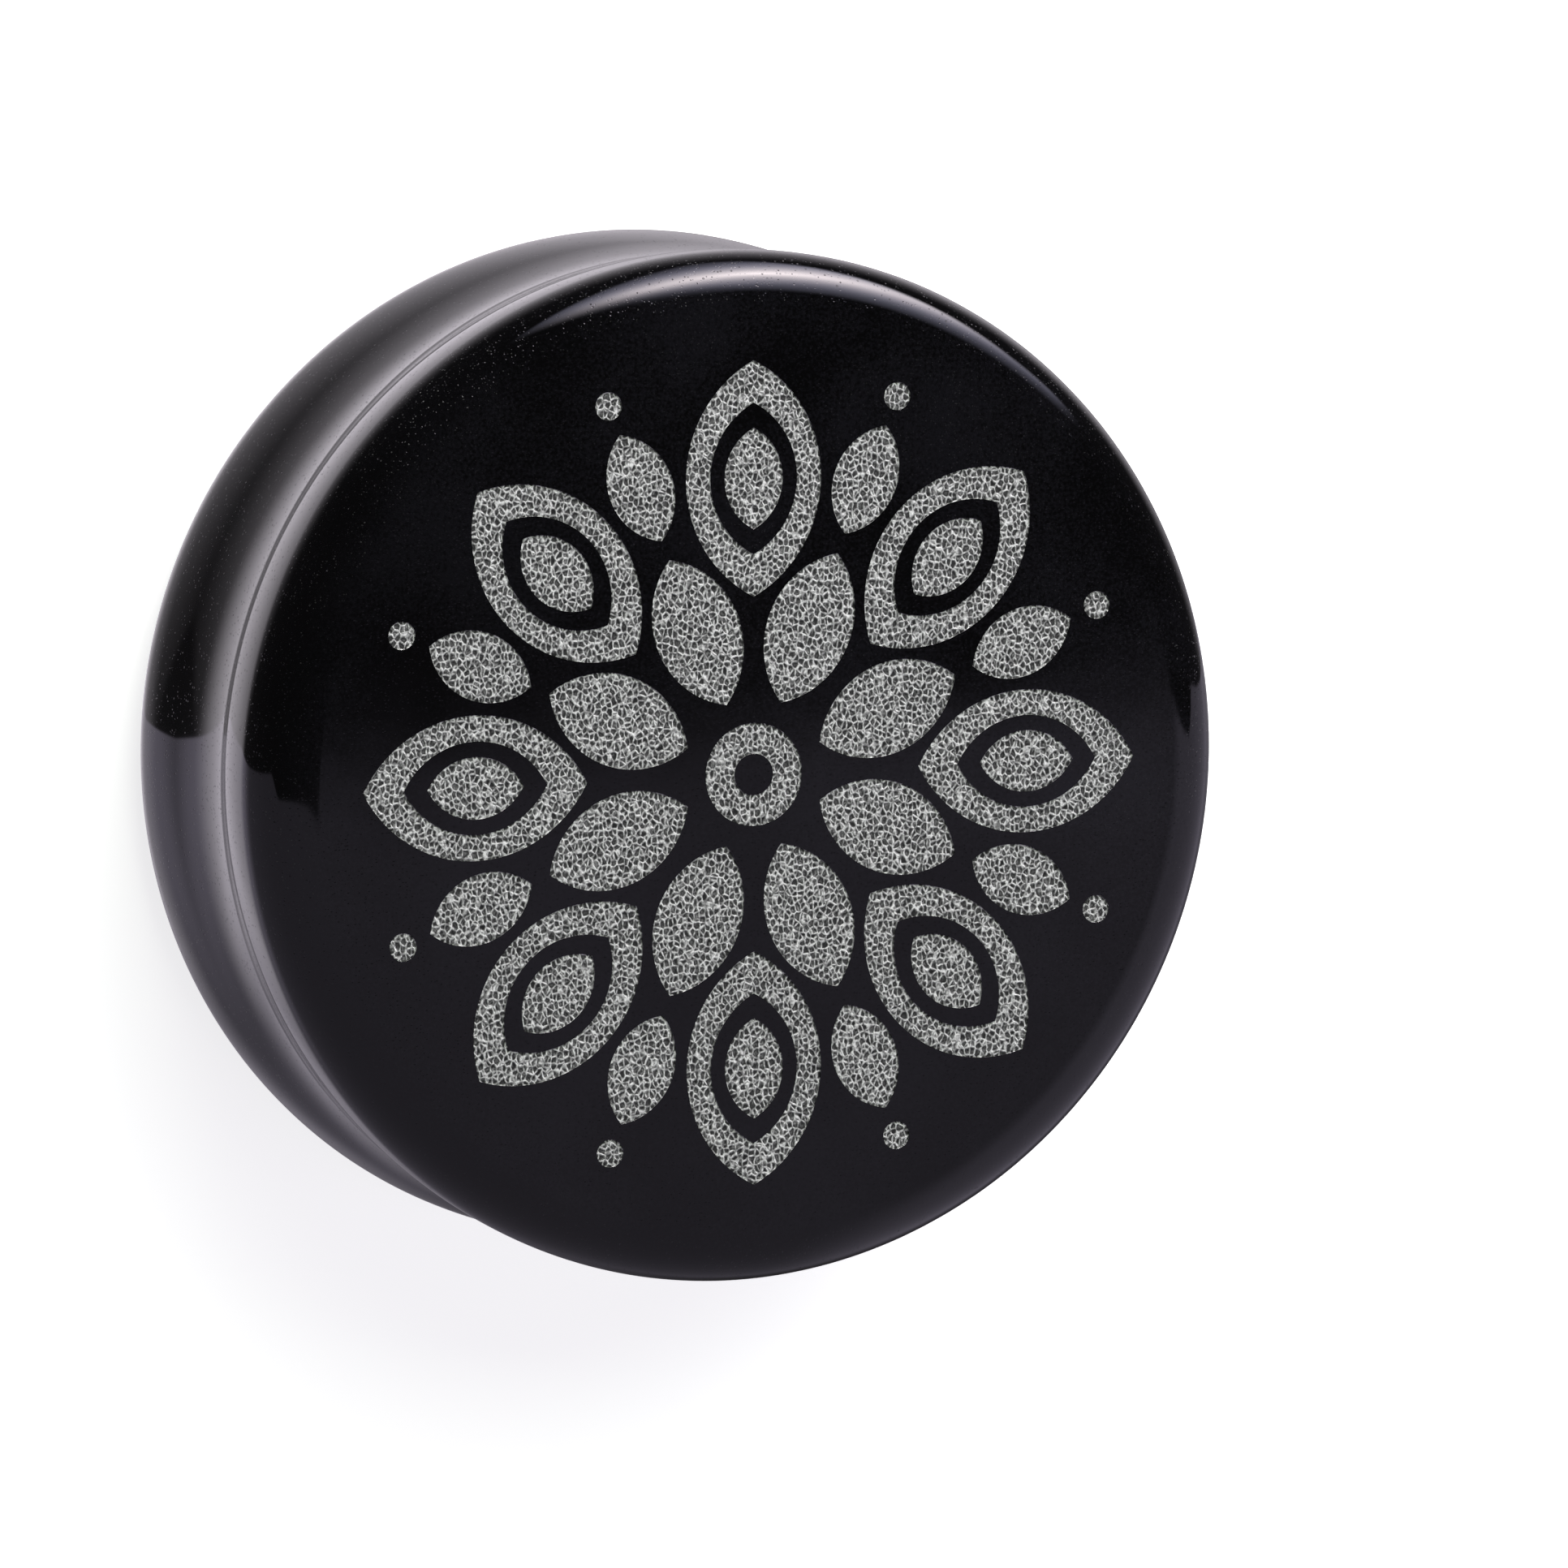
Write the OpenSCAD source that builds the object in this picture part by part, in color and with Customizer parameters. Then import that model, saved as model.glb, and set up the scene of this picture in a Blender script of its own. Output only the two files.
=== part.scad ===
// A double flare ear plug: one piece of black volcanic glass, turned and polished to a spool.
// A saddle between the two flares holds it in a stretched ear lobe. Both ends are flat with a
// rounded lip, and the front end has a shallow etched rosette.
// The axis is +Z, the back face lies on z = 0 and the front face is at z = length.

/* [Plug] */
// Diameter over the two flares
flare_d = 35; // [30:0.5:50]
// Length along the axis, from face to face
length = 14; // [12:0.2:16]
// Depth of the saddle at the waist, measured from the flares
saddle_depth = 0.48; // [0.3:0.02:1.1]

/* [Flares] */
// Radius of the rounded lip between a face and the flare's largest diameter
lip_r = 2; // [1.4:0.1:2.6]
// Radius of a flare's shoulder, as a share of the shoulder's and the waist's together
shoulder_share = 0.5; // [0.2:0.05:0.8]

/* [Rosette] */
// Depth of the etched areas below the front face
etch_depth = 0.05; // [0.02:0.01:0.2]
// Reach of the rosette, as a share of the flat face's radius
rosette_share = 0.9; // [0.6:0.02:0.94]
// Number of petals in each ring
petal_n = 8; // [5:1:8]

/* [Hidden] */
$fn = 96;

flare_r = flare_d / 2;
waist_r = flare_r - saddle_depth;
face_r = flare_r - lip_r;
mid_z = length / 2;
past = 0.5;          // how far a cutting shape runs past what it cuts

// The saddle is a shoulder arc, a waist arc and a shoulder arc, tangent where they meet and
// tangent to the lips. Both arcs turn through saddle_turn, and they meet turn_z from the middle.
saddle_half = mid_z - lip_r;
saddle_turn = 2 * atan(saddle_depth / saddle_half);
shoulder_r = shoulder_share * saddle_half / sin(saddle_turn);
waist_arc_r = (1 - shoulder_share) * saddle_half / sin(saddle_turn);
turn_z = waist_arc_r * sin(saddle_turn);

// The rosette's rings of petals, a row for each ring. Lengths are shares of the rosette's radius:
// where a petal starts and ends, and its width. Inside some petals lies a plain leaf, and inside
// that an etched core, both as shares of the petal's own size. The turn is a share of the step
// from one petal to the next.
rosette_r = rosette_share * face_r;
petal_step = 360 / petal_n;
ROOT = 0;
TIP = 1;
WIDTH = 2;
PLAIN = 3;
CORE = 4;
TURN = 5;
PETALS = [
    [0.185, 0.57, 0.22,  0,    0,    0.5],
    [0.43,  1,    0.35,  0.64, 0.43, 0],
    [0.62,  0.9,  0.165, 0,    0,    0.5],
];
dot_at = 0.975 * rosette_r;
dot_r = 0.034 * rosette_r;
hub_r = 0.125 * rosette_r;
eye_r = 0.05 * rosette_r;

// A leaf with two pointed ends, its middle at the origin and its length along X
module leaf(len, width) {
    arc_r = (len * len + width * width) / (4 * width);
    intersection() {
        translate([0, arc_r - width / 2]) circle(arc_r);
        translate([0, width / 2 - arc_r]) circle(arc_r);
    }
}

module petal(row) {
    len = (row[TIP] - row[ROOT]) * rosette_r;
    width = row[WIDTH] * rosette_r;
    translate([(row[TIP] + row[ROOT]) / 2 * rosette_r, 0]) {
        difference() {
            leaf(len, width);
            if (row[PLAIN] > 0) leaf(len * row[PLAIN], width * row[PLAIN]);
        }
        if (row[CORE] > 0) leaf(len * row[CORE], width * row[CORE]);
    }
}

// The etched areas, seen from the front: rings of petals, a ring of dots and an open hub
module rosette() {
    for (i = [0 : petal_n - 1]) {
        for (row = PETALS) rotate((i + row[TURN]) * petal_step + 90) petal(row);
        rotate((i + 0.5) * petal_step + 90) translate([dot_at, 0]) circle(dot_r);
    }
    difference() {
        circle(hub_r);
        circle(eye_r);
    }
}

// The corner outside the front lip's arc
module lip_cut() {
    difference() {
        translate([face_r, length - lip_r]) square(lip_r + past);
        translate([face_r, length - lip_r]) circle(lip_r);
    }
}

// The front half of the saddle's groove, with z = 0 at the plug's middle
module saddle_cut() {
    difference() {
        translate([waist_r, turn_z]) square([saddle_depth + past, saddle_half - turn_z]);
        translate([flare_r - shoulder_r, saddle_half]) circle(shoulder_r);
    }
    intersection() {
        translate([waist_r, 0]) square([saddle_depth + past, turn_z]);
        translate([waist_r + waist_arc_r, 0]) circle(waist_arc_r);
    }
}

// Half of the plug's section: the front and back ends are alike
module half_section() {
    difference() {
        square([flare_r, length]);
        lip_cut();
        translate([0, length]) mirror([0, 1]) lip_cut();
        translate([0, mid_z]) saddle_cut();
        translate([0, mid_z]) mirror([0, 1]) saddle_cut();
    }
}

module ear_plug() {
    color([0.04, 0.04, 0.05])
        difference() {
            rotate_extrude() half_section();
            translate([0, 0, length - etch_depth]) linear_extrude(etch_depth + past) rosette();
        }
}

ear_plug();
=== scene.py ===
import math

import bmesh
import bpy
from mathutils import Matrix, Vector
from mathutils.geometry import delaunay_2d_cdt


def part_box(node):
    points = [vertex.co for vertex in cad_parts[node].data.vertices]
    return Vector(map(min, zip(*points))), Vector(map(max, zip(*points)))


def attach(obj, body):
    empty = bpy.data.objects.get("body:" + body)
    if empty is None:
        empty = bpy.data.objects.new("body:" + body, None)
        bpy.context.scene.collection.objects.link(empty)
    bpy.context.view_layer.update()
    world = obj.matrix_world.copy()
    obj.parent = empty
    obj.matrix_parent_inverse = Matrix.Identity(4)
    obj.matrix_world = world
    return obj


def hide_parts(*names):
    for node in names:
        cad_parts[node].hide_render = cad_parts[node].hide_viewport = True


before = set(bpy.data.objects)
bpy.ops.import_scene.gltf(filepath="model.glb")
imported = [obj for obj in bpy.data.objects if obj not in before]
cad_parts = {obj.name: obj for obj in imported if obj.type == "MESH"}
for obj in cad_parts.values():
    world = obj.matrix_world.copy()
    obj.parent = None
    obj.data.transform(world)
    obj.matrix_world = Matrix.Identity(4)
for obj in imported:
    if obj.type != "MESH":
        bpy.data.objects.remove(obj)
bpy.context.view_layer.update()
MM = 0.001


# The plug's body. One block of obsidian, a black volcanic glass, is turned to a spool and polished.
# A shallow saddle between its two flares holds it in a stretched ear lobe. Its section is all arcs,
# each tangent to the next: the hollow waist, the flare's long shoulder and the rounded lip.
low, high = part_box("ear_plug")
flare_r = (high[0] - low[0]) / 2
length = high[2] - low[2]
lip_r = 2 * MM
face_margin = 0.04 * MM
BODY_SIZES = {
    "Flare Radius": flare_r,
    "Length": length,
    "Saddle Depth": 0.48 * MM,
    "Shoulder Share": 0.5,
    "Lip Radius": lip_r,
    "Face Margin": face_margin,
    "Steps Around": 288,
    "Arc Steps": 18,
}


def add(tree, kind, inputs=(), **settings):
    """Adds a node. The settings are its properties, and inputs gives its sockets' values or links."""
    node = tree.nodes.new(kind)
    node.location.x = 180 * len(tree.nodes)
    for name, value in settings.items():
        setattr(node, name, value)
    for name, value in dict(inputs).items():
        if isinstance(value, Number):
            value = value.socket
        if isinstance(value, bpy.types.NodeSocket):
            tree.links.new(value, node.inputs[name])
        else:
            node.inputs[name].default_value = value
    return node


class Number:
    """A number in a node tree. A formula written with it becomes the tree's Math nodes."""

    def __init__(self, tree, socket):
        self.tree = tree
        self.socket = socket

    def maths(self, operation, *others):
        inputs = dict(enumerate((self, *others)))
        return Number(self.tree, add(self.tree, "ShaderNodeMath", inputs, operation=operation).outputs[0])

    def __add__(self, other):
        return self.maths("ADD", other)

    def __sub__(self, other):
        return self.maths("SUBTRACT", other)

    def __mul__(self, other):
        return self.maths("MULTIPLY", other)

    def __truediv__(self, other):
        return self.maths("DIVIDE", other)


def new_tree(name, sizes):
    """A Geometry Nodes tree with a named input for each size, those inputs, and its output node."""
    tree = bpy.data.node_groups.new(name, "GeometryNodeTree")
    tree.interface.new_socket("Mesh", in_out="INPUT", socket_type="NodeSocketGeometry")
    for label, value in sizes.items():
        kind = "NodeSocketInt" if isinstance(value, int) else "NodeSocketFloat"
        tree.interface.new_socket(label, in_out="INPUT", socket_type=kind)
    tree.interface.new_socket("Mesh", in_out="OUTPUT", socket_type="NodeSocketGeometry")
    start = tree.nodes.new("NodeGroupInput")
    given = {label: Number(tree, start.outputs[label]) for label in sizes}
    return tree, start.outputs["Mesh"], given, tree.nodes.new("NodeGroupOutput")


def run_tree(tree, sizes, mesh):
    """Runs a tree on a mesh, with these sizes, and returns what it makes as a plain mesh."""
    holder = bpy.data.objects.new(tree.name, mesh)
    bpy.context.scene.collection.objects.link(holder)
    modifier = holder.modifiers.new(tree.name, "NODES")
    modifier.node_group = tree
    for socket in tree.interface.items_tree:
        if socket.in_out == "INPUT" and socket.name in sizes:
            modifier[socket.identifier] = sizes[socket.name]
    made = bpy.data.meshes.new_from_object(holder.evaluated_get(bpy.context.evaluated_depsgraph_get()))
    bpy.data.objects.remove(holder)
    return made


def vector(tree, x=0.0, y=0.0, z=0.0):
    return add(tree, "ShaderNodeCombineXYZ", {"X": x, "Y": y, "Z": z}).outputs[0]


def moved(tree, geometry, **places):
    """Geometry put through a Transform node, such as Translation, Rotation or Scale."""
    return add(tree, "GeometryNodeTransform", {"Geometry": geometry, **places}).outputs[0]


def joined(tree, parts):
    node = add(tree, "GeometryNodeJoinGeometry")
    for part in parts:
        tree.links.new(part, node.inputs[0])
    return node.outputs[0]


def arc(tree, centre, radius, start, sweep, steps):
    """An arc of a section drawn in X and Y, which are the radius and the height."""
    turn = {"Radius": radius, "Start Angle": start, "Sweep Angle": sweep, "Resolution": steps}
    curve = add(tree, "GeometryNodeCurveArc", turn, mode="RADIUS").outputs[0]
    return moved(tree, curve, Translation=centre)


def line(tree, start, end):
    return add(tree, "GeometryNodeCurvePrimitiveLine", {"Start": start, "End": end}).outputs[0]


def body_tree():
    """Sweeps the section round the axis. The front face is left open for the rosette's panel."""
    tree, _, size, out = new_tree("turned_body", BODY_SIZES)
    half = size["Length"] / 2.0
    flare_r, lip_r, steps = size["Flare Radius"], size["Lip Radius"], size["Arc Steps"]
    face_r = flare_r - lip_r
    inner_r = face_r - size["Face Margin"]
    saddle_half = half - lip_r
    turn = (size["Saddle Depth"] / saddle_half).maths("ARCTANGENT") * 2.0
    both_r = saddle_half / turn.maths("SINE")
    shoulder_r = both_r * size["Shoulder Share"]
    waist_arc_r = both_r - shoulder_r
    waist_x = flare_r - size["Saddle Depth"] + waist_arc_r

    front = joined(tree, [
        arc(tree, vector(tree, waist_x), waist_arc_r, math.pi, turn * -1.0, steps),
        arc(tree, vector(tree, flare_r - shoulder_r, saddle_half), shoulder_r, turn * -1.0, turn, steps),
        arc(tree, vector(tree, face_r, saddle_half), lip_r, 0.0, math.pi / 2, steps),
        line(tree, vector(tree, face_r, half), vector(tree, inner_r, half)),
    ])
    back = moved(tree, front, Scale=(1.0, -1.0, 1.0))
    back_face = line(tree, vector(tree, inner_r, half * -1.0), vector(tree, 0.0, half * -1.0))
    section = moved(tree, joined(tree, [front, back, back_face]), Scale=(1.0, -1.0, 1.0),
                    Translation=vector(tree, flare_r * -1.0))
    lathe = add(tree, "GeometryNodeCurvePrimitiveCircle",
                {"Resolution": size["Steps Around"], "Radius": flare_r}).outputs[0]
    swept = add(tree, "GeometryNodeCurveToMesh", {"Curve": lathe, "Profile Curve": section}).outputs[0]
    raised = moved(tree, swept, Translation=vector(tree, 0.0, 0.0, half))
    weld = {"Geometry": raised, "Distance": 0.001 * MM}
    welded = add(tree, "GeometryNodeMergeByDistance", weld).outputs[0]
    real = add(tree, "GeometryNodeRealizeInstances", {"Geometry": welded}).outputs[0]
    tree.links.new(real, out.inputs[0])
    return tree


body_mesh = run_tree(body_tree(), BODY_SIZES, bpy.data.meshes.new("block"))


# The rosette on the front face. A stencil is laid on the polished face and the open areas are
# blasted away to a shallow, even depth. It has three rings of leaf-shaped petals, some with a plain
# leaf and an etched core inside, a ring of dots, and an open hub.
face_r = flare_r - lip_r
etch_depth = 0.05 * MM
ROSETTE_SIZES = {
    "Reach": 0.9 * face_r / MM,
    "Petals": 8,
    "Outline Step": 0.075,
}
# Where each ring's petals start, end and how wide they are, as shares of the rosette's reach, then
# the plain leaf and the etched core as shares of their petal, and the turn as a share of a step.
PETAL_RINGS = [
    (0.185, 0.57, 0.22, (), 0.5),
    (0.43, 1.0, 0.35, (0.64, 0.43), 0.0),
    (0.62, 0.9, 0.165, (), 0.5),
]
# The dots' place and radius, and the radius of the hub and of its plain eye, as shares of the reach.
DOT_AT, DOT_R, HUB_R, EYE_R = 0.975, 0.034, 0.125, 0.05
CURVE_STEPS = 64


def resampled(tree, curve, step):
    inputs = {"Curve": curve, "Length": step}
    return add(tree, "GeometryNodeResampleCurve", inputs, mode="LENGTH").outputs[0]


def leaf(tree, long, wide, step):
    """A leaf's outline: two arcs that meet in points, with points a step apart along them."""
    arc_r = (long * long + wide * wide) / (wide * 4.0)
    half_turn = (long / (arc_r * 2.0)).maths("ARCSINE")
    side = arc(tree, vector(tree, 0.0, wide / 2.0 - arc_r), arc_r,
               half_turn * -1.0 + math.pi / 2, half_turn * 2.0, CURVE_STEPS)
    side = resampled(tree, side, step)
    return joined(tree, [side, moved(tree, side, Scale=(1.0, -1.0, 1.0))])


def round_mark(tree, radius, step):
    inputs = {"Resolution": CURVE_STEPS, "Radius": radius}
    return resampled(tree, add(tree, "GeometryNodeCurvePrimitiveCircle", inputs).outputs[0], step)


def around(tree, outline, count, turn):
    """Copies an outline round the middle, turned by a share of the step between two copies."""
    points = add(tree, "GeometryNodePoints", {"Count": count}).outputs[0]
    index = Number(tree, add(tree, "GeometryNodeInputIndex").outputs[0])
    angle = (index + turn) * (2 * math.pi) / count + math.pi / 2
    copies = add(tree, "GeometryNodeInstanceOnPoints",
                 {"Points": points, "Instance": outline, "Rotation": vector(tree, 0.0, 0.0, angle)})
    return copies.outputs[0]


def outline_tree():
    """Draws the stencil's outlines as rings of edges, in millimetres."""
    tree, _, size, out = new_tree("stencil_outlines", ROSETTE_SIZES)
    reach, count, step = size["Reach"], size["Petals"], size["Outline Step"]
    outlines = [round_mark(tree, reach * HUB_R, step), round_mark(tree, reach * EYE_R, step)]
    dot = moved(tree, round_mark(tree, reach * DOT_R, step), Translation=vector(tree, reach * DOT_AT))
    outlines.append(around(tree, dot, count, 0.5))
    for start, end, wide, inner, turn in PETAL_RINGS:
        for share in (1.0, *inner):
            petal = leaf(tree, reach * ((end - start) * share), reach * (wide * share), step)
            placed = moved(tree, petal, Translation=vector(tree, reach * ((start + end) / 2)))
            outlines.append(around(tree, placed, count, turn))
    real = add(tree, "GeometryNodeRealizeInstances", {"Geometry": joined(tree, outlines)}).outputs[0]
    edges = add(tree, "GeometryNodeCurveToMesh", {"Curve": real}).outputs[0]
    weld = {"Geometry": edges, "Distance": 0.01}
    welded = add(tree, "GeometryNodeMergeByDistance", weld).outputs[0]
    tree.links.new(welded, out.inputs[0])
    return tree


def closed_loops(mesh):
    """The vertices of each closed outline in a mesh of edges, in order."""
    beside = {v.index: [] for v in mesh.vertices}
    for edge in mesh.edges:
        a, b = edge.vertices
        beside[a].append(b)
        beside[b].append(a)
    loops, seen = [], set()
    for first in beside:
        if first in seen:
            continue
        loop, here = [], first
        while here is not None:
            loop.append(here)
            seen.add(here)
            here = next((n for n in beside[here] if n not in seen), None)
        loops.append([mesh.vertices[i].co.xy.copy() for i in loop])
    return loops


def triangulated(loops, extra=()):
    """Triangles between nested outlines, each with the number of outlines that it lies inside."""
    points, faces = [], []
    for loop in loops:
        faces.append(list(range(len(points), len(points) + len(loop))))
        points += loop
    points += extra
    only_inside, closest = 1, 1e-6
    points, _, triangles, _, _, inside = delaunay_2d_cdt(points, [], faces, only_inside, closest)
    return points, triangles, [len(ids) for ids in inside]


steps_around = BODY_SIZES["Steps Around"]
face_rim = [
    Vector((math.cos(a), math.sin(a))) * ((face_r - face_margin) / MM)
    for a in (2 * math.pi * i / steps_around for i in range(steps_around))
]
stencil = closed_loops(run_tree(outline_tree(), ROSETTE_SIZES, bpy.data.meshes.new("outlines")))

# The floors of the etched areas get a fine mesh, for the grain that blasting leaves: points a set
# distance apart, scattered over the floors and kept a little away from their outlines.
GRAIN_SIZES = {"Point Distance": 0.06, "Seed": 7}
MOST_POINTS_PER_MM2 = 1200.0
OUTLINE_GAP_SHARE = 0.7


def grain_points_tree():
    tree, floors, size, out = new_tree("grain_points", GRAIN_SIZES)
    spread = add(tree, "GeometryNodeDistributePointsOnFaces",
                 {"Mesh": floors, "Distance Min": size["Point Distance"],
                  "Density Max": MOST_POINTS_PER_MM2, "Seed": size["Seed"]},
                 distribute_method="POISSON").outputs["Points"]
    border = add(tree, "GeometryNodeInputMeshEdgeNeighbors").outputs[0]
    inner = add(tree, "FunctionNodeCompare", {2: border, 3: 1}, data_type="INT", operation="NOT_EQUAL")
    outline = add(tree, "GeometryNodeDeleteGeometry", {"Geometry": floors, "Selection": inner.outputs[0]},
                  domain="EDGE").outputs[0]
    near = add(tree, "GeometryNodeProximity", {"Geometry": outline}, target_element="EDGES")
    distance = Number(tree, near.outputs["Distance"])
    close = distance.maths("LESS_THAN", size["Point Distance"] * OUTLINE_GAP_SHARE)
    kept = add(tree, "GeometryNodeDeleteGeometry", {"Geometry": spread, "Selection": close},
               domain="POINT").outputs[0]
    vertices = add(tree, "GeometryNodePointsToVertices", {"Points": kept}).outputs[0]
    tree.links.new(vertices, out.inputs[0])
    return tree


points, triangles, depth = triangulated([face_rim, *stencil])
floors = bpy.data.meshes.new("floors")
floors.from_pydata([(*p, 0) for p in points], [], [t for t, d in zip(triangles, depth) if d % 2 == 0])
scatter = run_tree(grain_points_tree(), GRAIN_SIZES, floors)
points, triangles, depth = triangulated([face_rim, *stencil], [v.co.xy.copy() for v in scatter.vertices])

# The panel: the polished ground level with the lip, the floors below it, and the walls between.
ground = [t for t, d in zip(triangles, depth) if d % 2]
etched = [t for t, d in zip(triangles, depth) if d % 2 == 0]
count = len(points)
levels = [(p.x * MM, p.y * MM, length) for p in points]
levels += [(p.x * MM, p.y * MM, length - etch_depth) for p in points]
floor_edges = {(t[i - 1], t[i]) for t in etched for i in range(3)}
walls = [
    (a, a + count, b + count, b)
    for a, b in ((t[i - 1], t[i]) for t in ground for i in range(3)) if (b, a) in floor_edges
]
panel = bpy.data.meshes.new("panel")
panel.from_pydata(levels, [], ground + walls + [tuple(i + count for i in t) for t in etched])
for face in panel.polygons:
    face.material_index = int(face.index >= len(ground))
# The points of the floors that no wall touches are free to be lifted by the grain.
on_wall = {i for wall in walls for i in wall}
free = panel.attributes.new("free", "FLOAT", "POINT")
free.data.foreach_set("value", [float(i >= count and i not in on_wall) for i in range(2 * count)])

# The grain itself: small bowls of uneven size with sharp rims between them, as hard grit leaves in
# glass. The same cells shape the floors here and colour them in the etched material below.
grain_cell = 0.19 * MM
RELIEF_SIZES = {"Rim Height": 0.03 * MM}


def noise(tree, place, size, detail=2.0):
    inputs = {"Vector": place, "Scale": 1 / size, "Detail": detail}
    return add(tree, "ShaderNodeTexNoise", inputs)


def between(tree, along, start, end, first, last):
    """A soft step from one value to another while a number runs from its start to its end."""
    inputs = {"Value": along, "From Min": start, "From Max": end, "To Min": first, "To Max": last}
    step = add(tree, "ShaderNodeMapRange", inputs, interpolation_type="SMOOTHSTEP")
    return Number(tree, step.outputs[0])


def bent(tree, place):
    """The place pushed about by a fraction of a cell, so that the rims between cells are not straight.
    It is squeezed too, because the grit was driven across the face and left long bowls."""
    drift = noise(tree, place, 1.5 * grain_cell, detail=1.0).outputs["Color"]
    drift = add(tree, "ShaderNodeVectorMath", {0: drift, 1: (0.5, 0.5, 0.5)}, operation="SUBTRACT")
    inputs = {0: drift.outputs[0], "Scale": 0.6 * grain_cell}
    drift = add(tree, "ShaderNodeVectorMath", inputs, operation="SCALE").outputs[0]
    moved_place = add(tree, "ShaderNodeVectorMath", {0: place, 1: drift}).outputs[0]
    squeeze = {0: moved_place, 1: (1.05, 0.8, 1.0)}
    return add(tree, "ShaderNodeVectorMath", squeeze, operation="MULTIPLY").outputs[0]


def from_rim(tree, place, cell):
    """The distance from the nearest rim between irregular cells, as a share of a cell."""
    inputs = {"Vector": place, "Scale": 1 / cell}
    cells = add(tree, "ShaderNodeTexVoronoi", inputs, feature="DISTANCE_TO_EDGE")
    return Number(tree, cells.outputs["Distance"])


def relief_tree():
    tree, mesh, size, out = new_tree("grain_relief", RELIEF_SIZES)
    place = bent(tree, add(tree, "GeometryNodeInputPosition").outputs[0])
    free = add(tree, "GeometryNodeInputNamedAttribute", {"Name": "free"}, data_type="FLOAT")
    free = Number(tree, free.outputs[0])
    rise = between(tree, from_rim(tree, place, grain_cell), 0.0, 0.45, 1.0, 0.0)
    lift = vector(tree, 0.0, 0.0, rise * size["Rim Height"] * free)
    lifted = add(tree, "GeometryNodeSetPosition", {"Geometry": mesh, "Offset": lift})
    real = add(tree, "GeometryNodeRealizeInstances", {"Geometry": lifted.outputs[0]}).outputs[0]
    tree.links.new(real, out.inputs[0])
    return tree


panel = run_tree(relief_tree(), RELIEF_SIZES, panel)

# Body and panel meet on one ring of vertices and become one closed skin. It is smooth all over, apart
# from the corners of the body and the edges of the pockets.
skin = bmesh.new()
skin.from_mesh(body_mesh)
skin.from_mesh(panel)
bmesh.ops.remove_doubles(skin, verts=skin.verts, dist=0.002 * MM)
bmesh.ops.recalc_face_normals(skin, faces=skin.faces)
crease = math.radians(7)
wall_slope = 0.01
for face in skin.faces:
    face.smooth = True
for edge in skin.edges:
    a, b = edge.link_faces
    if a.material_index == 0 and b.material_index == 0:
        edge.smooth = edge.calc_face_angle() < crease
    else:
        beside_wall = min(abs(a.normal.z), abs(b.normal.z)) <= wall_slope
        edge.smooth = a.material_index == b.material_index and not beside_wall
plug_mesh = bpy.data.meshes.new("obsidian_plug")
skin.to_mesh(plug_mesh)
skin.free()
plug = bpy.data.objects.new("obsidian_plug", plug_mesh)
bpy.context.scene.collection.objects.link(plug)


def new_material(name):
    """A material, its tree, its main shader, and the Object coordinates that its patterns read."""
    material = bpy.data.materials.new(name)
    material.use_nodes = True
    tree = material.node_tree
    tree.nodes.clear()
    shader = add(tree, "ShaderNodeBsdfPrincipled")
    add(tree, "ShaderNodeOutputMaterial", {"Surface": shader.outputs[0]})
    return material, tree, shader, add(tree, "ShaderNodeTexCoord").outputs["Object"]


def mixed(tree, share, first, second):
    """A colour between two, which are colours or sockets."""
    node = add(tree, "ShaderNodeMix", {0: share, 6: first, 7: second}, data_type="RGBA")
    return node.outputs[2]


def grey(value):
    return (value, value, value, 1.0)


def specks(tree, place, apart, size, share):
    """Small round specks about so far apart, most of them faint, of which only a share is drawn."""
    cells = add(tree, "ShaderNodeTexVoronoi", {"Vector": place, "Scale": 1 / apart})
    pick = add(tree, "ShaderNodeSeparateColor", {"Color": cells.outputs["Color"]})
    drawn = Number(tree, pick.outputs[0]).maths("LESS_THAN", share)
    size_here = Number(tree, pick.outputs[1]) * (0.7 * size / apart) + 0.3 * size / apart
    near = (size_here - Number(tree, cells.outputs["Distance"])) / (0.35 * size / apart)
    strong = Number(tree, pick.outputs[2]).maths("POWER", 1.8)
    return near.maths("MAXIMUM", 0.0).maths("MINIMUM", 1.0) * drawn * strong


# Polished obsidian is nearly black, with faint smoky clouds and a haze of fine powder. Hand polishing
# leaves it a little uneven, so its mirror wavers, with tiny pits along the rims. The dust that lies on
# it is thickest on the upper right of the front lip.
polished, tree, shader, place = new_material("polished_obsidian")
deep_black = (0.0004, 0.0004, 0.0005, 1.0)
smoke = (0.0058, 0.0056, 0.0075, 1.0)
dust_grey = grey(0.5)
clouds = Number(tree, noise(tree, place, 5 * MM, detail=4.0).outputs[0])
powder = Number(tree, noise(tree, place, 0.11 * MM).outputs[0])
haze = between(tree, clouds * 0.5 + powder * 0.5, 0.38, 0.64, 0.0, 1.0)
radius = add(tree, "ShaderNodeVectorMath", {0: place, 1: (1.0, 1.0, 0.0)}, operation="MULTIPLY")
radius = add(tree, "ShaderNodeVectorMath", {0: radius.outputs[0]}, operation="LENGTH")
radius = radius.outputs["Value"]
rim_ramp = {"Value": radius, "From Min": face_r, "From Max": flare_r - 0.6 * MM, "To Min": 0.12}
at_rim = Number(tree, add(tree, "ShaderNodeMapRange", rim_ramp).outputs[0])
spot = add(tree, "ShaderNodeSeparateXYZ", {"Vector": place}).outputs
spot_x, spot_y, spot_z = (Number(tree, socket) for socket in spot)
upper = between(tree, spot_y + spot_x * 0.6, -5 * MM, 8 * MM, 0.0, 1.0)
haze = haze * (at_rim * -0.95 + 1.1) * (upper * 0.45 + 0.55)
colour = mixed(tree, haze, deep_black, smoke)
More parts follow.
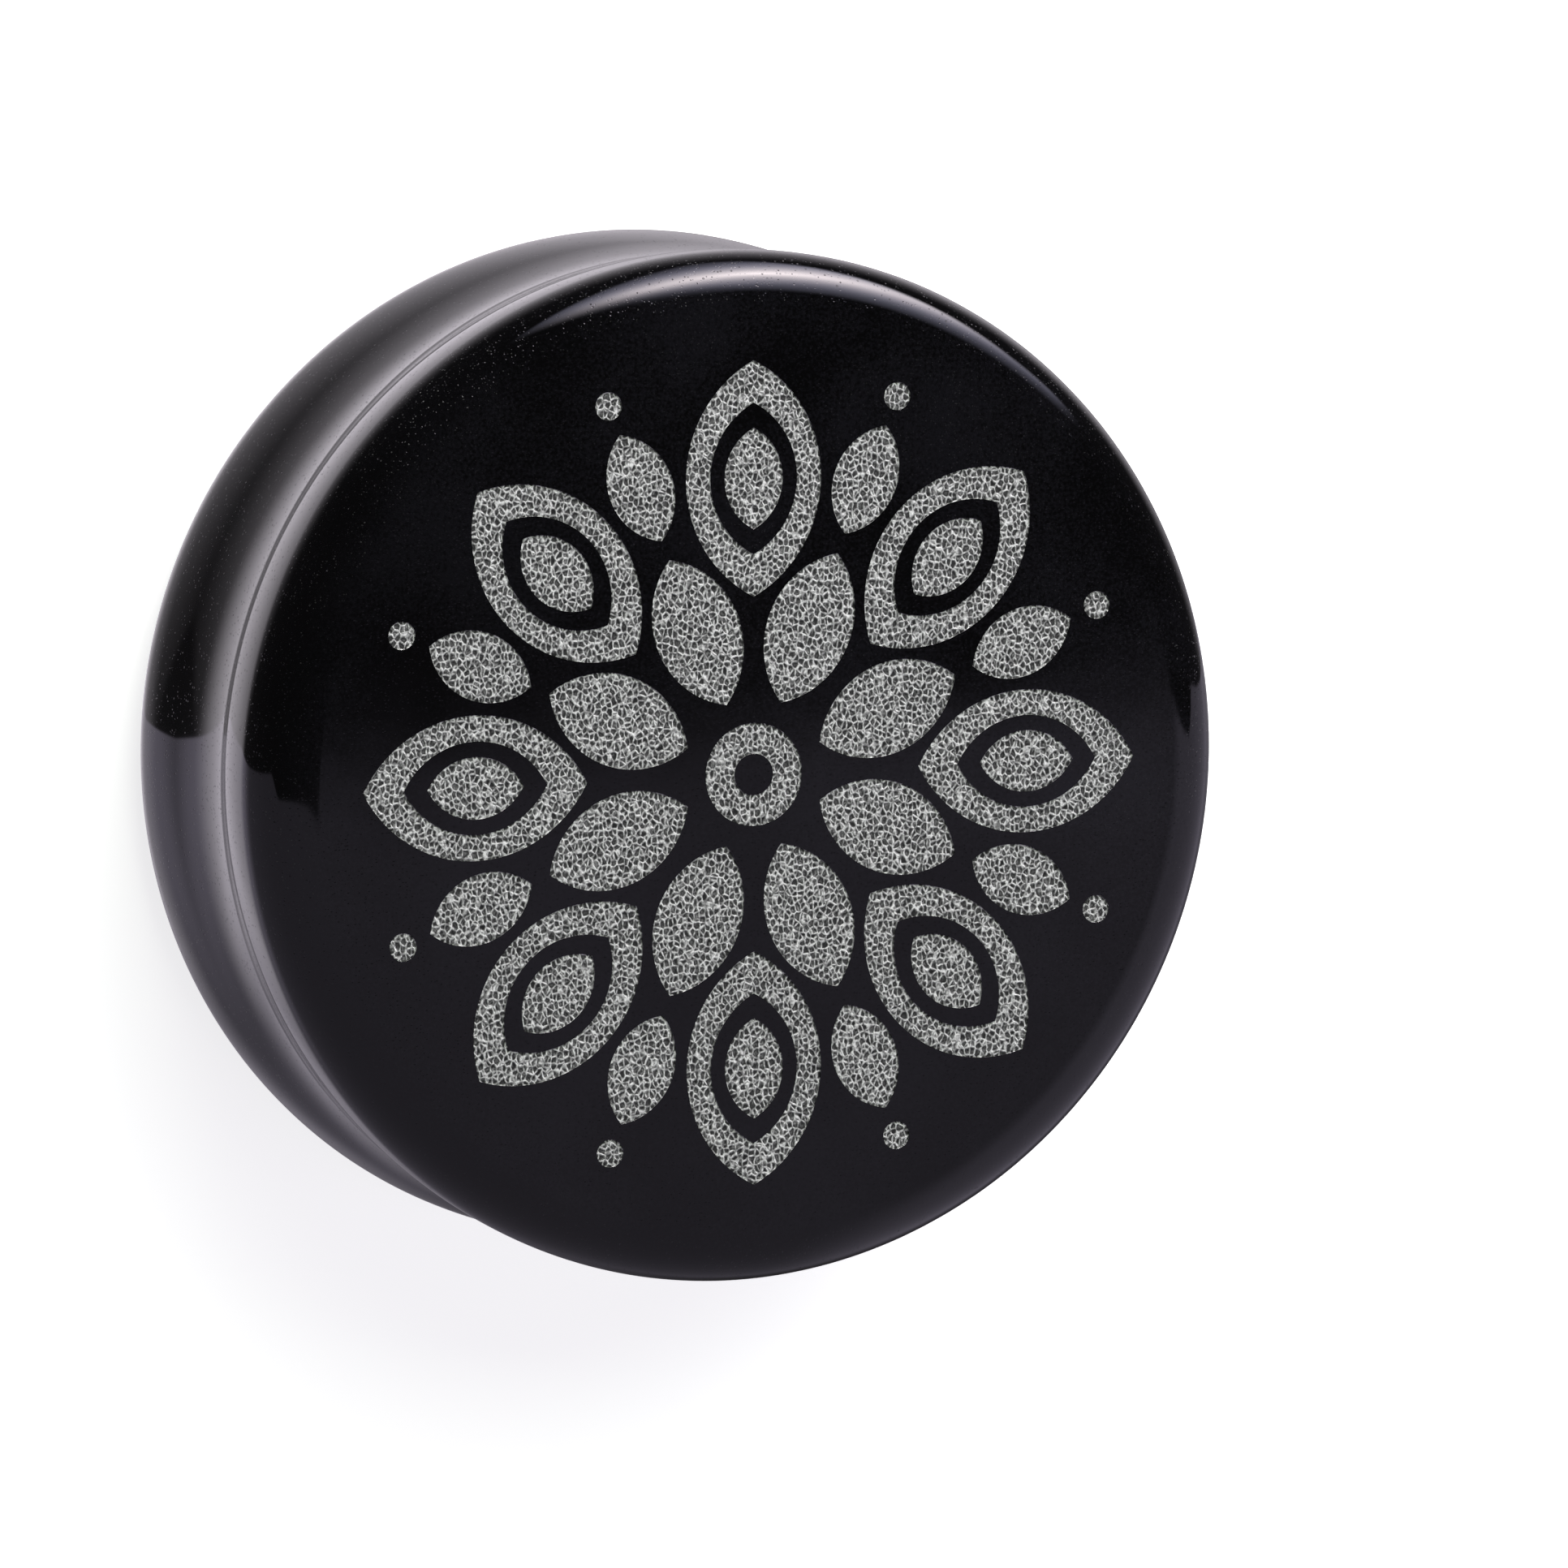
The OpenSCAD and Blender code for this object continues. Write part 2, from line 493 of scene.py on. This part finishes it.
pits = specks(tree, place, apart=0.12 * MM, size=0.04 * MM, share=0.7) * at_rim
dust = specks(tree, place, apart=0.09 * MM, size=0.032 * MM, share=0.7)
dust = dust * between(tree, clouds, 0.4, 0.6, 0.3, 1.0)
dust = dust * (at_rim * 0.85 + 0.15) * (upper * 0.75 + 0.25)
dust = dust * between(tree, spot_z, length - 3 * MM, length - MM, 0.2, 1.0)
colour = mixed(tree, dust * 0.22, colour, dust_grey)
tree.links.new(colour, shader.inputs["Base Color"])
smears = Number(tree, noise(tree, place, 3 * MM, detail=5.0).outputs[0])
rough = smears * 0.05 + 0.02 + dust * 0.4 + pits * 0.3
tree.links.new(rough.socket, shader.inputs["Roughness"])
# The surface's height, counted in steps of the bump's distance.
waver = Number(tree, noise(tree, place, 2.2 * MM, detail=1.0).outputs[0]) * 0.6
surface = waver - pits * 6.0
bump = add(tree, "ShaderNodeBump", {"Height": surface, "Strength": 1.0, "Distance": 0.002 * MM})
tree.links.new(bump.outputs[0], shader.inputs["Normal"])
shader.inputs["IOR"].default_value = 1.5

# Where the polish is blasted away the same glass is crushed to a dull grey. The thin rims of its
# grain are nearly white, most where they cross. The bowls between them are dark, each with a random
# tone, and darkest right beside the rims, where that darkening is painted shade.
frosted, tree, shader, place = new_material("etched_obsidian")
bowl_dark_and_shade, bowl_pale, rim_white = grey(0.016), grey(0.165), grey(0.92)
middle = bent(tree, place)
off_rim = from_rim(tree, middle, grain_cell)
rim = between(tree, off_rim, 0.0, 0.25, 1.0, 0.0)
small_rim = between(tree, from_rim(tree, middle, 0.6 * grain_cell), 0.0, 0.3, 1.0, 0.0)
patches = Number(tree, noise(tree, place, 1.2 * grain_cell).outputs[0])
small_rim = small_rim * between(tree, patches, 0.4, 0.7, 0.0, 0.36)
strong = noise(tree, place, 0.8 * grain_cell).outputs[0]
strong = between(tree, strong, 0.31, 0.68, 0.2, 1.0)
height = rim.maths("MAXIMUM", small_rim)
white = (height * strong + rim * small_rim * 0.5).maths("MINIMUM", 1.0)
cells = add(tree, "ShaderNodeTexVoronoi", {"Vector": middle, "Scale": 1 / grain_cell})
pick = add(tree, "ShaderNodeSeparateColor", {"Color": cells.outputs["Color"]})
# Painted shade: each bowl is darkest beside its rims, as if the rims shaded it, and each bowl also gets
# its own random tone.
shade_and_tone = between(tree, off_rim, 0.2, 0.5, 0.0, 0.8) * pick.outputs[0]
bowl_tone_and_shade = mixed(tree, shade_and_tone, bowl_dark_and_shade, bowl_pale)
colour = mixed(tree, white, bowl_tone_and_shade, rim_white)
tree.links.new(colour, shader.inputs["Base Color"])
rough = patches * 0.2 + 0.65
tree.links.new(rough.socket, shader.inputs["Roughness"])
powder = Number(tree, noise(tree, place, 0.05 * MM).outputs[0]) * 0.2 + height
bump = add(tree, "ShaderNodeBump", {"Height": powder, "Strength": 0.8, "Distance": 0.03 * MM})
tree.links.new(bump.outputs[0], shader.inputs["Normal"])
shader.inputs["Specular IOR Level"].default_value = 0.3

plug_mesh.materials.append(polished)
plug_mesh.materials.append(frosted)
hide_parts("ear_plug")
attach(plug, "root")


# The floor is one white sheet, lit from below as well, as a light table is, so that only the softest
# shadow shows. The polished glass mirrors the room made further down instead of the sheet, which lies
# a hair under the plug's back, so that no two surfaces share a plane.
floor_half = 0.6
floor_height = -0.01 * MM
floor_mesh = bpy.data.meshes.new("floor")
corners = [(-1, -1), (1, -1), (1, 1), (-1, 1)]
corners = [(x * floor_half, y * floor_half, floor_height) for x, y in corners]
floor_mesh.from_pydata(corners, [], [(0, 1, 2, 3)])
floor = bpy.data.objects.new("floor", floor_mesh)
bpy.context.scene.collection.objects.link(floor)
pale, _, shader, _ = new_material("pale_floor")
shader.inputs["Base Color"].default_value = grey(0.85)
shader.inputs["Roughness"].default_value = 0.9
shader.inputs["Specular IOR Level"].default_value = 0.0
shader.inputs["Emission Color"].default_value = grey(1.0)
shader.inputs["Emission Strength"].default_value = 0.75
floor_mesh.materials.append(pale)
floor.visible_glossy = False


# The light. One softbox stands beyond the top right of the rosette, low over the floor, so that the
# top lip mirrors it as a bright crescent and the flat face does not mirror it at all. Its lamp shows
# through as a warm spot that fades to cool cloth. A second one overhead, which no glass mirrors,
# lights the etched grain and softens the shadow.
def softbox(name, towards, distance, size, radiance):
    """A rectangular area light aimed at the plug, as bright as a surface of this radiance."""
    lamp = bpy.data.lights.new(name, "AREA")
    lamp.shape = "RECTANGLE"
    lamp.size, lamp.size_y = size
    lamp.energy = math.pi * lamp.size * lamp.size_y * radiance
    holder = bpy.data.objects.new(name, lamp)
    towards = Vector(towards).normalized()
    place = Vector((0, 0, length)) + towards * distance
    turn = towards.to_track_quat("Z", "Y").to_matrix().to_4x4()
    holder.matrix_world = Matrix.Translation(place) @ turn
    holder.visible_camera = False
    bpy.context.scene.collection.objects.link(holder)
    return holder, lamp


key_distance = 0.2
key_size = (0.38, 0.3)
_, key = softbox("key_softbox", (0.418, 0.864, 0.281), key_distance, key_size, radiance=1.0)
key.use_nodes = True
tree = key.node_tree
tree.nodes.clear()
across = add(tree, "ShaderNodeNewGeometry").outputs["Parametric"]
across = add(tree, "ShaderNodeSeparateXYZ", {"Vector": across})
# Places on the cloth, in shares of its distance from the plug, with the middle at nought.
u = (Number(tree, across.outputs[0]) - 0.5) * (key_size[0] / key_distance)
v = (Number(tree, across.outputs[1]) - 0.5) * (key_size[1] / key_distance)
# The cloth's outline: its upper right edge, lower left edge, far end, top edge and rounded corners.
cloth = between(tree, u + v * 1.16 + 0.082, 0.374, 0.895, 1.0, 0.0)
cloth = cloth * between(tree, u.maths("MAXIMUM", -0.58) + v * 1.3, -0.9, -0.65, 0.0, 1.0)
cloth = cloth * between(tree, u, -0.82, -0.68, 0.0, 1.0)
cloth = cloth * between(tree, v - u * 0.4, 0.42, 0.6, 1.0, 0.0)
from_middle = (u - 0.011).maths("ABSOLUTE") / 1.091 + (v - 0.069).maths("ABSOLUTE") / 1.108
cloth = cloth * between(tree, from_middle, 0.842, 1.0, 1.0, 0.0)
# The lamp behind it makes an oval spot, brightest in its middle.
off = vector(tree, u * 0.223 - v * 0.063 - 0.02, v * 0.452 - u * 0.164 + 0.053)
off = add(tree, "ShaderNodeVectorMath", {0: off}, operation="LENGTH")
off = Number(tree, off.outputs["Value"])
near = (off * -1.0 + 1.0).maths("MAXIMUM", 0.0)
warm = between(tree, near, 0.75, 1.0, 0.0, 1.0)
cool_cloth = (0.905, 0.895, 1.19, 1.0)
warm_spot = (1.06, 0.955, 0.985, 1.0)
colour = mixed(tree, warm, cool_cloth, warm_spot)
fall_off, peak = 11.0, 21.2
strength = near.maths("POWER", fall_off) * cloth * peak
light = add(tree, "ShaderNodeEmission", {"Color": colour, "Strength": strength})
add(tree, "ShaderNodeOutputLight", {"Surface": light.outputs[0]})

fill_towards = (0.1, 0.62, 0.78)
holder, fill = softbox("fill_softbox", fill_towards, distance=0.4, size=(0.3, 0.3), radiance=3.05)
fill.color = (0.98, 1.09, 0.88)
holder.visible_glossy = False

# The room round the plug. It is dark above the table, whose front edge is nearer than the others and
# so is mirrored lower. The table is lit in front and on the right, and brightest low on the left.
# Round the side and behind the plug hangs a pale backdrop, which the saddle and the flares mirror.
world = bpy.data.worlds.new("room")
bpy.context.scene.world = world
world.use_nodes = True
tree = world.node_tree
tree.nodes.clear()
direction = add(tree, "ShaderNodeTexCoord").outputs["Generated"]
towards = add(tree, "ShaderNodeSeparateXYZ", {"Vector": direction})
x, y, z = (Number(tree, socket) for socket in towards.outputs)

# The table: its edge, which is a little out of focus, and how bright it is in front and at its sides.
edge_blur = 0.0025
edge = between(tree, z, 0.25, 0.55, -0.066, -0.134) + between(tree, x, 0.15, 0.6, 0.0, 0.03)
lit = between(tree, z - x * 0.2, 0.1, -1.4, 0.27, 0.16)
lit = lit + between(tree, x, 0.4, 0.62, 0.0, 0.25) * between(tree, z, -0.6, -0.4, 0.0, 1.0)
lit = lit + between(tree, x, -0.2, -0.58, 0.0, 0.5) * between(tree, z, -0.6, -0.95, 0.0, 1.0)
lit = lit * between(tree, y - edge, -edge_blur, edge_blur, 1.0, 0.0)
# The backdrop: its upper part round the side, and the brightest part straight behind the plug.
side = (x * 0.785 + 0.755).maths("MAXIMUM", 0.0) * between(tree, y, -0.26, 0.425, 0.0, 1.0)
side = side * between(tree, z - x * 0.21, -0.42, -1.1, 0.0, 1.0)
side = side * between(tree, x + y * 0.6, -0.56, -0.5, 0.0, 1.0)
behind = between(tree, z + y * 0.06, -0.873, -0.993, 0.0, 0.75)
behind = behind * between(tree, x - y, 0.09, 0.34, 1.0, 0.36)
# The plug's own shade falls on both, low on the right behind it.
shade = between(tree, x, 0.05, 0.38, 0.0, 0.97) * between(tree, y, 0.02, -0.42, 0.0, 1.0)
shade = shade * between(tree, z, -0.5, -0.75, 0.0, 1.0)
shade = shade * -1.0 + 1.0
table_tint = (0.976, 0.894, 1.135, 1.0)
backdrop_tint = (1.013, 0.952, 1.036, 1.0)
dark_room = 0.045
pale_light = (side + behind) * shade + dark_room
table = add(tree, "ShaderNodeBackground", {"Color": table_tint, "Strength": lit * shade})
backdrop = add(tree, "ShaderNodeBackground", {"Color": backdrop_tint, "Strength": pale_light})
room = add(tree, "ShaderNodeAddShader", {0: table.outputs[0], 1: backdrop.outputs[0]})
seen = Number(tree, add(tree, "ShaderNodeLightPath").outputs["Is Camera Ray"])
wall = add(tree, "ShaderNodeBackground", {"Color": grey(0.97)})
choice = add(tree, "ShaderNodeMixShader", {0: seen, 1: room.outputs[0], 2: wall.outputs[0]})
add(tree, "ShaderNodeOutputWorld", {"Surface": choice.outputs[0]})


# The camera looks at the front face from its left and a little above, with a long lens. Its angle to
# the plug, and the flare's width and place in the picture, are those of the photo.
camera_turn = math.radians(22.28)
camera_rise = math.radians(7.11)
camera_distance = 21 * flare_r
flare_width_share = 2 * 631.1 / 1932
sensor_width = 36
aim_right, aim_down = 0.2095 * flare_r, 0.0644 * flare_r
camera = bpy.data.objects.new("camera", bpy.data.cameras.new("camera"))
camera.data.sensor_width = sensor_width
camera.data.lens = sensor_width * flare_width_share * camera_distance / (2 * flare_r)
camera.data.clip_start = 0.01
looking = Matrix.Rotation(-camera_turn, 4, "Y") @ Matrix.Rotation(-camera_rise, 4, "X")
back_off = looking @ Vector((aim_right, -aim_down, camera_distance))
camera.matrix_world = Matrix.Translation(Vector((0, 0, length / 2)) + back_off) @ looking
bpy.context.scene.collection.objects.link(camera)
bpy.context.scene.camera = camera
bpy.context.scene.view_settings.view_transform = "Standard"
